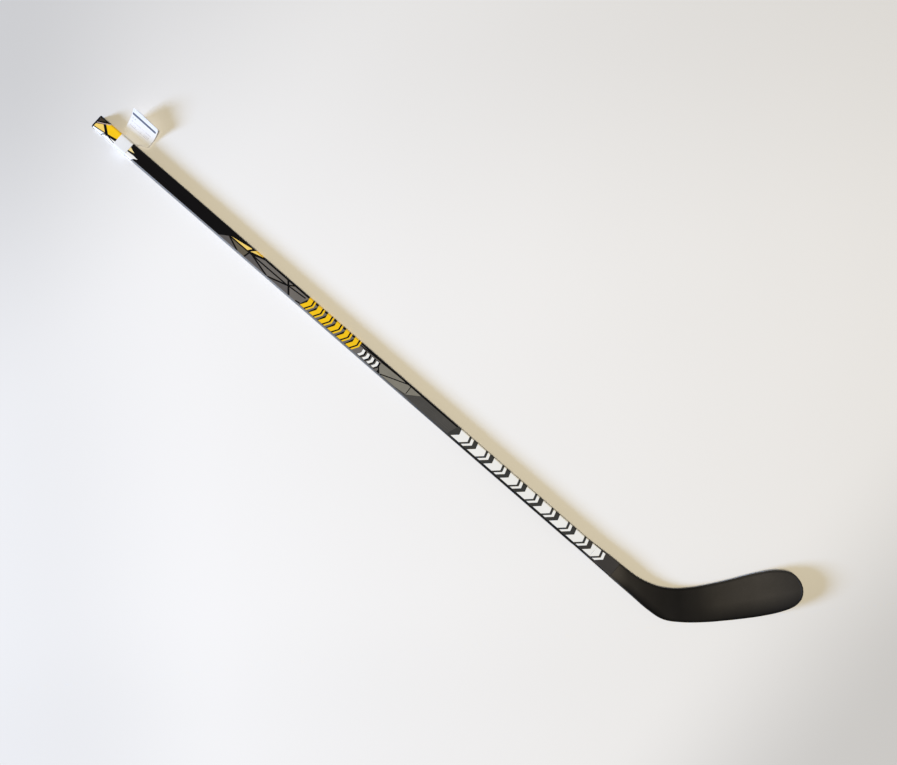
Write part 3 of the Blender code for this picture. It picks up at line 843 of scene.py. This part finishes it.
def skin_grid(columns):
    """Rows of (point, station, share of the way from sole to top edge) inside the rim."""
    inset = RIM + 0.05 * MM
    grid = []
    for s in stations(0.0, TIP - 1.0, 7) + stations(TIP - 1.0, TIP - 0.10, 22)[1:]:
        low, high = (loop_point(q) + inward(q) * inset for q in (s, 2 * TIP - s))
        span = (high - low).length
        along = (high - low).normalized()
        row = []
        for k in range(columns + 1):
            f = 0.5 - 0.5 * math.cos(math.pi * k / columns)
            f = f * 0.5 + k / columns * 0.5  # half way to even spacing
            row.append((low + along * span * f, s, f))
        grid.append(row)
    return grid


def blade_skin(name, side, material, replaces):
    """One face of the blade as a closed plate with a small chamfer; side is the sign of its y."""
    thickness, edge, columns = 0.9 * MM, 0.12 * MM, 26
    grid = skin_grid(columns)
    last = len(grid) - 1
    bm = bmesh.new()

    def layer(depth, shrink):
        made = []
        for i, row in enumerate(grid):
            verts = []
            for j, (p, s, f) in enumerate(row):
                q = p.copy()
                if shrink:
                    if j in (0, columns):
                        across = (row[1][0] - row[0][0]).normalized()
                        q += across * shrink * (1 if j == 0 else -1)
                    if i == 0:
                        q += U * shrink
                    if i == last:
                        q += (grid[i - 1][j][0] - p).normalized() * shrink
                verts.append(bm.verts.new(with_curve(q, side * (face_half(s, f) - depth))))
            made.append(verts)
        return made

    def border(g):
        right = [row[-1] for row in g[1:]]
        left = [g[i][0] for i in range(last - 1, 0, -1)]
        return g[0] + right + g[-1][-2::-1] + left

    top = layer(0.0, edge)
    middle = layer(edge, 0.0)
    bottom = layer(thickness, 0.0)
    for g in (top, bottom):
        for i in range(last):
            for j in range(columns):
                bm.faces.new((g[i][j], g[i][j + 1], g[i + 1][j + 1], g[i + 1][j]))
    for a, b in ((border(top), border(middle)), (border(middle), border(bottom))):
        for i in range(len(a)):
            j = (i + 1) % len(a)
            bm.faces.new((a[i], a[j], b[j], b[i]))
    # only the middle layer's border carries faces
    for v in [v for v in bm.verts if not v.link_faces]:
        bm.verts.remove(v)
    put_mesh(name, bm, material, replaces, sharp_degrees=28)


def blade_rim(material):
    """The bead round the blade's edge, along the sole, round the toe and back along the top."""
    path = stations(0.0, TIP - 1.0, 9) + stations(TIP - 1.0, TIP, 26)[1:]
    path = path + [2 * TIP - s for s in path[-2::-1]]
    rings = []
    for q in path:
        p, n = loop_point(q), inward(q)
        station = q if q <= TIP else 2 * TIP - q
        half = face_half(station, smooth_step((q - TIP + 1.0) / 2.0))
        r = min(at_station(RADIUS, station), half * 0.8)
        # (depth in from the outline, y)
        profile = [(RIM, -half + 0.10 * MM), (RIM - 0.12 * MM, -half)]
        for k in range(8, -1, -1):
            t = math.radians(90.0 * k / 8)
            profile.append((r - r * math.cos(t), -(half - r) - r * math.sin(t)))
        profile += [(depth, -y) for depth, y in profile[::-1]]
        rings.append([with_curve(p + n * depth, y) for depth, y in profile])
    put_mesh(
        "blade_rim", loft(rings), material, "blade_edge_binding", sharp_degrees=50
    )


# the forehand and the rim carry painted sheen and painted shade
FOREHAND = moulded(
    "finish_blade_forehand", srgb(76, 70, 61), rough=0.52, pebble_scale=900.0, painted_light=True
)
BACKHAND = moulded("finish_blade_backhand", srgb(46, 43, 39), rough=0.52, pebble_scale=900.0)
RIM_FINISH = moulded("finish_rim", srgb(64, 59, 52), rough=0.46, pebble_scale=500.0, painted_light=True)
blade_skin("blade_forehand", -1, FOREHAND, "blade_forehand_skin")
blade_skin("blade_backhand", 1, BACKHAND, "blade_backhand_skin")
blade_rim(RIM_FINISH)

# ------------------------------------------------------------------ butt end plug
# mm: (along the shaft, inset from the shaft's section); the last four are the part in the tube
PLUG_PROFILE = (
    (0.0, 3.2), (0.0, 1.4), (0.12, 0.9), (0.35, 0.45), (0.7, 0.12), (1.1, 0.0), (2.7, 0.0),
    (2.95, 0.08), (3.0, 0.3), (3.0, 2.3), (33.0, 2.3), (34.2, 2.6), (35.0, 3.3),
)


def make_plug():
    rings = []
    for along, inset in PLUG_PROFILE:
        radius = CORNER if inset < 2 else CORNER + 0.4 * MM
        ring = section(along * MM, inset * MM, radius)
        rings.append([shaft_point(along * MM, y, z) for y, z in ring])
    material = moulded("finish_plug", srgb(24, 23, 24), rough=0.42, pebble_scale=700.0)
    put_mesh(
        "butt_plug", loft(rings), material, "butt_end_plug", sharp_degrees=50
    )


make_plug()


# ------------------------------------------------------------------ inner pieces: CAD shapes
def foam_material():
    t = material_tree("finish_foam")
    cells = t.add("ShaderNodeTexVoronoi", feature="F1")
    t.put(cells.inputs["Vector"], t.position(along_shaft=False))
    cells.inputs["Scale"].default_value = 1400.0
    distance = cells.outputs["Distance"]
    cloud = t.noise(scale=40.0, detail=3.0)
    blend = t.total(t.calc("MULTIPLY", distance, 0.6), t.calc("MULTIPLY", cloud, 0.4))
    return t.finish(t.principled(
        Base_Color=t.ramp(blend, [(0.15, (0.52, 0.46, 0.30)), (0.6, (0.74, 0.68, 0.50))]),
        Roughness=0.9,
        Normal=t.bump(distance, strength=0.5, distance=0.3 * MM),
    ))


FOAM = foam_material()
RAW = moulded("finish_raw_composite", srgb(70, 66, 60), rough=0.6, pebble_scale=600.0)
for node, material in (
    ("blade_foam_core_lower", FOAM),
    ("blade_foam_core_upper", FOAM),
    ("blade_spar", RAW),
    ("tenon_block", RAW),
):
    cad_mesh = frame["nodes"][node].data
    cad_mesh.materials.clear()
    cad_mesh.materials.append(material)


# ------------------------------------------------------------------ paper price label, in mm
def paper_material(name, tint):
    t = material_tree(name)
    fibre = t.noise(scale=700.0, detail=4.0, rough=0.65)
    cloud = t.noise(scale=60.0, detail=3.0, rough=0.6)
    shade = t.total(
        t.remap(fibre, NOISE_SPAN, (0.965, 1.02)), t.remap(cloud, NOISE_SPAN, (-0.02, 0.02))
    )
    return t.finish(t.principled(
        Base_Color=t.multiply(tint, t.grey(shade)),
        Roughness=0.72,
        Specular_IOR_Level=0.35,
        Normal=t.bump(fibre, strength=0.25, distance=0.1 * MM),
    ))


# (distance out along the flag that it reaches, tint), from the neck outwards; the tints are
# painted light, paler on the shaded neck and darker on the brightly lit outer part
FLAG_PAINTED_LIGHT_TINTS = (
    (12.0, (0.92, 0.92, 0.93)),
    (16.0, (0.89, 0.885, 0.885)),
    (20.0, (0.86, 0.85, 0.845)),
    (25.0, (0.83, 0.815, 0.80)),
    (99.0, (0.805, 0.78, 0.76)),
)
WRAP_PAPER = paper_material("finish_label_paper", (0.83, 0.83, 0.835))
# flag papers tinted as painted light: paler at the shaded neck, darker further out
FLAG_PAINTED_LIGHT_PAPERS = [
    paper_material("finish_label_paper_%d" % k, tint) for k, (_, tint) in enumerate(FLAG_PAINTED_LIGHT_TINTS)
]
BAND = lacquer("finish_label_band", srgb(92, 96, 110), rough=0.6, coat=0.0, vary=0.16)
SMUDGE = lacquer("finish_label_smudge", srgb(188, 181, 183), rough=0.7, coat=0.0, vary=0.06)
LABEL_MATERIALS = [WRAP_PAPER, BAND, SMUDGE] + FLAG_PAINTED_LIGHT_PAPERS
BAND_SLOT, SMUDGE_SLOT, FLAG_SLOT = 1, 2, 3

# the flag: distance out from the crease, then the places of its two edges along the shaft
FLAG_OUTLINE = (
    (0.0, 51.7, 76.4), (2.6, 52.3, 80.4), (6.6, 52.2, 85.6), (8.0, 50.6, 89.5),
    (9.5, 46.4, 93.6), (10.9, 43.3, 95.4), (13.8, 42.3, 95.9), (17.6, 41.8, 95.8),
    (21.3, 41.3, 95.7), (25.2, 40.8, 95.4), (28.9, 40.3, 95.1), (32.9, 39.8, 94.6),
    (37.0, 39.3, 94.1), (40.8, 38.9, 93.6), (44.8, 38.5, 93.0), (49.2, 38.1, 92.4),
    (51.3, 38.3, 91.8), (52.9, 39.0, 91.0), (53.8, 40.9, 89.2),
)
FLAG_LENGTH = FLAG_OUTLINE[-1][0]
FLAG_START, FLAG_END = math.radians(-22.0), math.radians(66.0)  # its slope at the two ends
FLAG_TWIST = 7.0  # lift of the outer end's two corners, one each way
CREASE_ACROSS, CREASE_Y = 13.8, 1.5
WRAP_FROM, WRAP_TO = 49.7, FLAG_OUTLINE[0][2]
LABEL_HALF_THICKNESS = 9.0  # of the shaft under the label
LABEL_GAP = 0.32  # paper's middle off the shaft
LABEL_THICKNESS = 0.16
LABEL_COLUMNS = 56
FOLD_ROWS = 6  # rows over which the strip narrows into its fold
# distances out along the flag of its rows; the first rows are the neck, the last the outer edge
FLAG_ARCS = [0.8 + 0.75 * k for k in range(16)]
FLAG_ARCS += [12.8 + 39.4 * k / 46 for k in range(1, 47)]
FLAG_ARCS += [52.6, 53.0, 53.3, 53.5, 53.65, FLAG_LENGTH]
RANDOM = random.Random(7)


def flag_edges(arc):
    for (a0, l0, r0), (a1, l1, r1) in zip(FLAG_OUTLINE, FLAG_OUTLINE[1:]):
        if arc <= a1:
            f = (arc - a0) / (a1 - a0)
            return l0 + (l1 - l0) * f, r0 + (r1 - r0) * f
    return FLAG_OUTLINE[-1][1:]


def wrap_path():
    """(across, y) from the lower narrow side, over the -Y face, to the fold on the upper side."""
    half_width, r, gap = HALF_WIDTH / MM, CORNER / MM, LABEL_GAP
    half = LABEL_HALF_THICKNESS

    def corner(centre_across, start_degrees):
        angles = [math.radians(start_degrees + 90 * k / 8) for k in range(1, 9)]
        return [
            (centre_across + (r + gap) * math.cos(t), -half + r + (r + gap) * math.sin(t))
            for t in angles
        ]

    path = [(-half_width - gap, y) for y in (5.0, 2.0, -1.5, -5.5)]
    path += corner(-half_width + r, -180)
    path += [(across, -half - gap) for across in (-4.6, 0.0, 4.6, 9.25)]
    path += corner(half_width - r, -90)
    path += [(half_width + gap, y) for y in (-3.5, -1.5, 0.0)]
    for k in range(6):  # quarter circle of the fold, 1 mm in radius
        t = math.radians(90 * k / 5)
        path.append((half_width + gap + 1.0 - math.cos(t), 0.5 + math.sin(t)))
    return path


def label_rows():
    """Rows of the sheet as (across, y, distance along the flag, edge, other edge)."""
    rows = []
    path = wrap_path()
    for i, (across, y) in enumerate(path):
        narrowing = max(0, i - len(path) + FOLD_ROWS)
        left = WRAP_FROM + (flag_edges(0)[0] - WRAP_FROM) * narrowing / FOLD_ROWS
        rows.append((across, y, 0.0, left, WRAP_TO))
    rate = (FLAG_END - FLAG_START) / FLAG_LENGTH
    for arc in FLAG_ARCS:
        t = FLAG_START + rate * arc
        across = CREASE_ACROSS + (math.sin(t) - math.sin(FLAG_START)) / rate
        y = CREASE_Y - (math.cos(FLAG_START) - math.cos(t)) / rate
        rows.append((across, y, arc, *flag_edges(arc)))
    return rows, len(path)


def flag_slot(arc, column):
    """Material slot on the flag: one dark band, two marks, rows of faint dashes, or paper in a
    band of painted light.
    """
    if 39.6 < arc < 43.9 and 0 < column < LABEL_COLUMNS - 3:
        return BAND_SLOT
    if 33.6 < arc < 34.7 and column in (3, 4, 8, 9):
        return SMUDGE_SLOT
    in_dash_row = any(start < arc < start + 0.95 for start in (20.6, 23.2, 28.0))
    if in_dash_row and 3 < column < 48 and RANDOM.random() < 0.55:
        return SMUDGE_SLOT
    return FLAG_SLOT + next(k for k, (reach, _) in enumerate(FLAG_PAINTED_LIGHT_TINTS) if arc < reach)


def make_label():
    """One strip of paper: the wrap, its fold, and a flag that curls to -Y with a twist."""
    bm = bmesh.new()
    rows, wrap_count = label_rows()
    made = []
    for across, y, arc, left, right in rows:
        share = arc / FLAG_LENGTH
        verts = []
        for k in range(LABEL_COLUMNS + 1):
            f = k / LABEL_COLUMNS
            along = left + (right - left) * f
            ripple = 0.35 * share * math.sin(7.0 * f + 4.0 * share)
            ripple -= 0.9 * share**2 * math.sin(math.pi * f)
            lift = FLAG_TWIST * share**1.5 * (2 * f - 1) + ripple
            verts.append(bm.verts.new(shaft_point(along * MM, (y + lift) * MM, across * MM)))
        made.append(verts)
    for i, (a, b) in enumerate(zip(made, made[1:])):
        for k in range(LABEL_COLUMNS):
            face = bm.faces.new((a[k], b[k], b[k + 1], a[k + 1]))
            if i >= wrap_count:
                face.material_index = flag_slot((rows[i][2] + rows[i + 1][2]) / 2, k)
    mesh = bpy.data.meshes.new("price_label")
    bm.to_mesh(mesh)
    bm.free()
    ob = link_object("price_label", mesh)
    for material in LABEL_MATERIALS:
        mesh.materials.append(material)
    mesh.shade_smooth()
    solid = ob.modifiers.new("thickness", "SOLIDIFY")
    solid.thickness = LABEL_THICKNESS * MM
    solid.offset = 0.0
    bpy.context.view_layer.objects.active = ob
    with bpy.context.temp_override(object=ob, active_object=ob):
        bpy.ops.object.modifier_apply(modifier="thickness")
    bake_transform(ob)
    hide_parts("price_label_wrap", "price_label_flag")


make_label()

# ------------------------------------------------------------------ stage
WALL_Y = HALF_THICKNESS + 0.35 * MM
FLOOR_Z = -0.4 * MM


def eased(t, value, start, end, depth):
    """0 up to start, rising smoothly to depth at end."""
    f = t.remap(value, (start, end), UNIT)
    slope = t.calc("SUBTRACT", 3.0, t.calc("MULTIPLY", f, 2.0))
    return t.calc("MULTIPLY", t.calc("MULTIPLY", t.calc("MULTIPLY", f, f), slope), depth)


def painted_wall_shading(t):
    """Painted light falloff: paler in the middle, with painted shade past the stick's two ends
    and towards the top and floor.
    """
    # zero is moved to near the stick's middle
    along = t.calc("ADD", t.split(t.position())[0], 0.6155)
    x, _, z = t.split(t.position(along_shaft=False))
    level = 1.06
    # (coordinate, where the painted shade starts, where it is full, its depth)
    for value, start, end, depth in (
        (along, -0.52, -1.0, 0.17),
        (x, -0.86, -1.18, 0.10),
        (z, 0.14, -0.10, 0.03),
        (along, 0.60, 0.94, 0.25),
        (z, 0.58, 1.10, 0.07),
    ):
        level = t.calc("SUBTRACT", level, eased(t, value, start, end, depth))
    return t.grey(level)


def wall_fade(t):
    """Opaque only from its front, and never in the way of a light."""
    light_path = t.add("ShaderNodeLightPath")
    geometry = t.add("ShaderNodeNewGeometry")
    backfacing = geometry.outputs["Backfacing"]
    return t.calc("MAXIMUM", backfacing, light_path.outputs["Is Shadow Ray"])


def floor_fade(t):
    """Seen only by a camera above it, and not by one that looks nearly along +Y."""
    light_path = t.add("ShaderNodeLightPath")
    geometry = t.add("ShaderNodeNewGeometry")
    unseen = t.calc("SUBTRACT", 1.0, light_path.outputs["Is Camera Ray"])
    view = t.add("ShaderNodeNewGeometry")
    toward_front = t.calc("MULTIPLY", t.split(view.outputs["Incoming"])[1], -1.0)
    square_on = t.remap(toward_front, (0.80, 0.88), UNIT)
    hidden = t.calc("MAXIMUM", square_on, unseen)
    return t.calc("MAXIMUM", hidden, geometry.outputs["Backfacing"])


def stage_material(name, colour, fade, painted_shading=None):
    t = material_tree(name)
    cloud = t.noise(scale=1.3, detail=2.0, rough=0.5, along_shaft=False)
    tooth = t.noise(
        scale=160.0, detail=3.0, rough=0.6, stretch=(0.5, 1, 1.6), along_shaft=False
    )
    patches = t.remap(cloud, NOISE_SPAN, UNIT)
    base = t.mix(patches, scaled(colour, 0.985), scaled(colour, 1.01))
    # painted light falloff darkening the backdrop away from its middle
    if painted_shading:
        base = t.multiply(base, painted_shading(t))
    surface = t.principled(
        Base_Color=base,
        Roughness=0.9,
        Specular_IOR_Level=0.2,
        Normal=t.bump(tooth, strength=0.12, distance=0.6 * MM),
    )
    clear = t.add("ShaderNodeBsdfTransparent")
    blend = t.add("ShaderNodeMixShader")
    t.put(blend.inputs[0], fade(t))
    t.put(blend.inputs[1], surface)
    t.put(blend.inputs[2], clear.outputs[0])
    return t.finish(blend.outputs[0])


def stage_plane(name, corners, material):
    mesh = bpy.data.meshes.new(name)
    mesh.from_pydata(corners, [], [(0, 1, 2, 3)])
    ob = link_object(name, mesh)
    mesh.materials.append(material)


WALL = stage_material("stage_wall", (0.873, 0.86, 0.850), wall_fade, painted_wall_shading)
FLOOR = stage_material("stage_floor", (0.82, 0.82, 0.815), floor_fade)
stage_plane(
    "stage_wall", [(x, WALL_Y, z) for x, z in ((-4, -2.5), (4, -2.5), (4, 4), (-4, 4))], WALL
)
stage_plane(
    "stage_floor", [(x, y, FLOOR_Z) for x, y in ((-6, -6), (6, -6), (6, 6), (-6, 6))], FLOOR
)

# ------------------------------------------------------------------ lights and world
LIGHT_TARGET = Vector((-0.446, 0.0, 0.4576))
VIEW_DIRECTION = (-0.0627, -0.9961, -0.0606)  # from the stick towards the camera


def disk_light(name, direction, distance, size, power, colour):
    """A disk that stands in the given direction from the target and faces it."""
    toward = Vector(direction).normalized()
    light = bpy.data.lights.new(name, "AREA")
    light.shape = "DISK"
    light.size = size
    light.energy = power
    light.color = colour
    ob = link_object(name, light)
    ob.location = LIGHT_TARGET + toward * distance
    ob.rotation_euler = toward.to_track_quat("Z", "Y").to_euler()
    return ob


def make_world():
    """Dim warm light for the stick, and a pale backdrop for the camera."""
    t = Tree(bpy.data.worlds.new("studio"), output="ShaderNodeOutputWorld")
    blend = t.add("ShaderNodeMixShader")
    light_path = t.add("ShaderNodeLightPath")
    t.put(blend.inputs[0], light_path.outputs["Is Camera Ray"])
    for slot, colour, strength in ((1, (1.0, 0.93, 0.78), 0.09), (2, (0.80, 0.80, 0.79), 1.0)):
        background = t.add("ShaderNodeBackground")
        background.inputs[0].default_value = colour4(colour)
        background.inputs[1].default_value = strength
        t.put(blend.inputs[slot], background.outputs[0])
    return t.finish(blend.outputs[0])


disk_light(
    "key", direction=(-0.899, -0.4115, -0.153), distance=7.6, size=2.5, power=717.0,
    colour=(0.493, 0.657, 1.0),
)
room = disk_light(
    "room", direction=VIEW_DIRECTION, distance=8.0, size=1.5, power=395.0,
    colour=(1.0, 0.88, 0.63),
)
room.visible_glossy = False
disk_light(
    "rear_fill", direction=(0.5, 0.8, 0.5), distance=3.5, size=2.5, power=70.0,
    colour=(1.0, 0.98, 0.95),
)
SCENE.world = make_world()

# ------------------------------------------------------------------ camera
CAMERA_DISTANCE = 2.5
CAMERA_AIM = Vector((-0.4467, -HALF_THICKNESS, 0.4588))
CAMERA_ROLL = math.radians(5.13)
VIEW_WIDTH = 1.57069493  # metres in view at the aim
SENSOR_WIDTH = 36.0


def make_camera():
    camera = bpy.data.cameras.new("camera")
    ob = link_object("camera", camera)
    SCENE.camera = ob
    camera.sensor_width = SENSOR_WIDTH
    camera.lens = SENSOR_WIDTH * CAMERA_DISTANCE / VIEW_WIDTH
    camera.clip_start, camera.clip_end = 0.05, 60.0
    toward = Vector(VIEW_DIRECTION).normalized()
    up = Vector((math.sin(CAMERA_ROLL), 0.0, math.cos(CAMERA_ROLL)))
    right = up.cross(toward).normalized()
    up = toward.cross(right).normalized()
    turn = Matrix((right, up, toward)).transposed().to_4x4()
    ob.matrix_world = Matrix.Translation(CAMERA_AIM + toward * CAMERA_DISTANCE) @ turn


make_camera()
SCENE.view_settings.view_transform = "Standard"
SCENE.view_settings.look = "None"
SCENE.view_settings.exposure = 0.0

bpy.context.view_layer.update()
